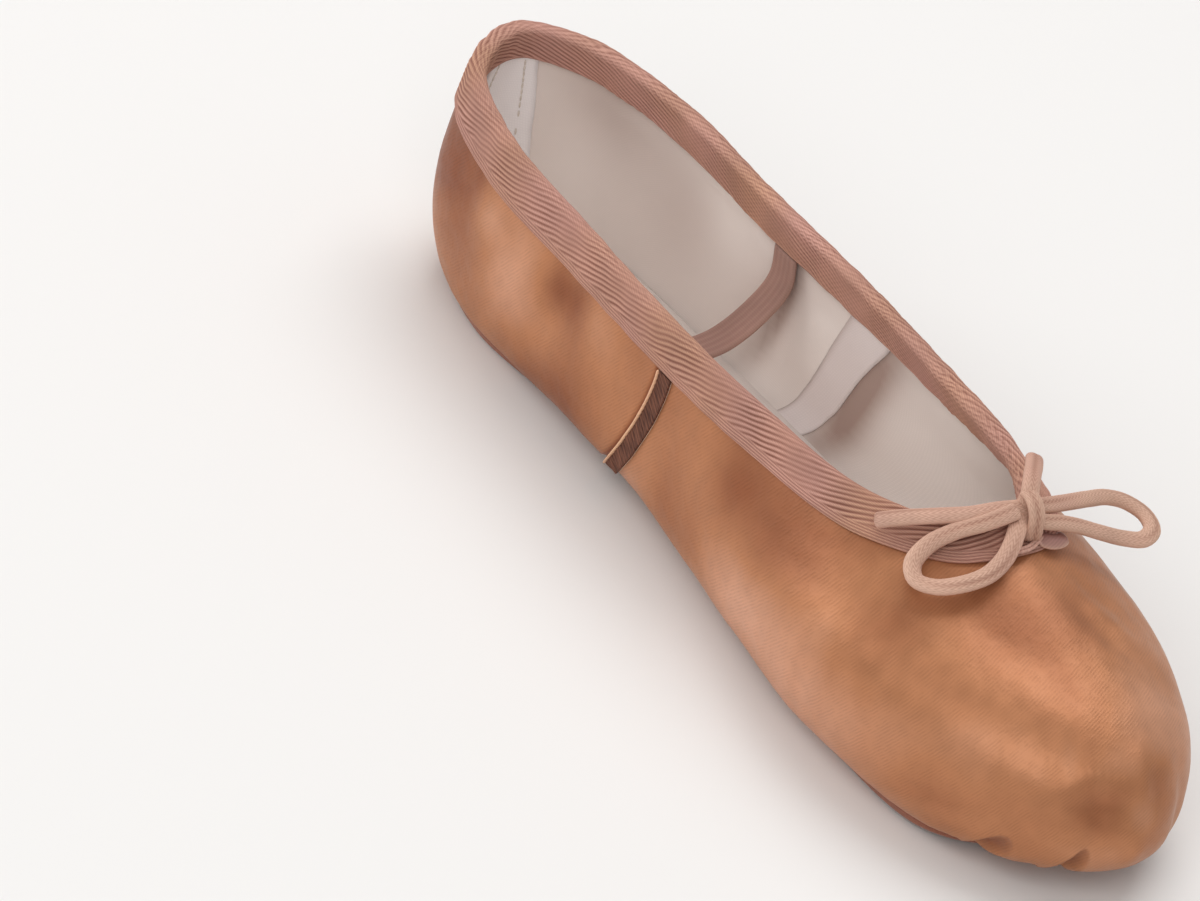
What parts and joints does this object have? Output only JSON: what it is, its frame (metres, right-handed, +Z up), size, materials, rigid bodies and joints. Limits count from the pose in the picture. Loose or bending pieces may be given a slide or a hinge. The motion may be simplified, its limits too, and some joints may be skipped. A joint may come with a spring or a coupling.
{
  "type": "soft satin ballet slipper",
  "caption": "Soft satin ballet slipper with a leather sole, gathered toe, folded tape binding, elastic strap and a drawstring bow.",
  "frame": {"origin": "on the floor under the middle of the shoe's bounding box, the drawstring bow left out", "axes": "+X towards the toe, +Y to the shoe's left side, +Z up"},
  "size_m": [0.2255, 0.0718, 0.0551],
  "materials": {
    "satin": "bronze tan satin with a soft sheen",
    "sole_leather": "reddish tan suede leather, fine grain",
    "sock": "off-white cotton twill",
    "binding_tape": "rose tan herringbone tape, matte",
    "seam_tape": "dark brown ribbed tape",
    "elastic": "rose brown woven elastic, lengthwise ribs",
    "cord": "pinkish tan braided drawstring, matte"
  },
  "bodies": {
    "root": {"upper": "satin", "outsole": "sole_leather", "insole": "sock", "binding": "binding_tape", "seam_strip_left": "seam_tape", "seam_strip_right": "seam_tape", "elastic_strap": "elastic", "bow_knot": "cord", "cord_loop_left": "cord", "cord_loop_right": "cord", "cord_end_left": "cord", "cord_end_right": "cord"}
  },
  "joints": []
}
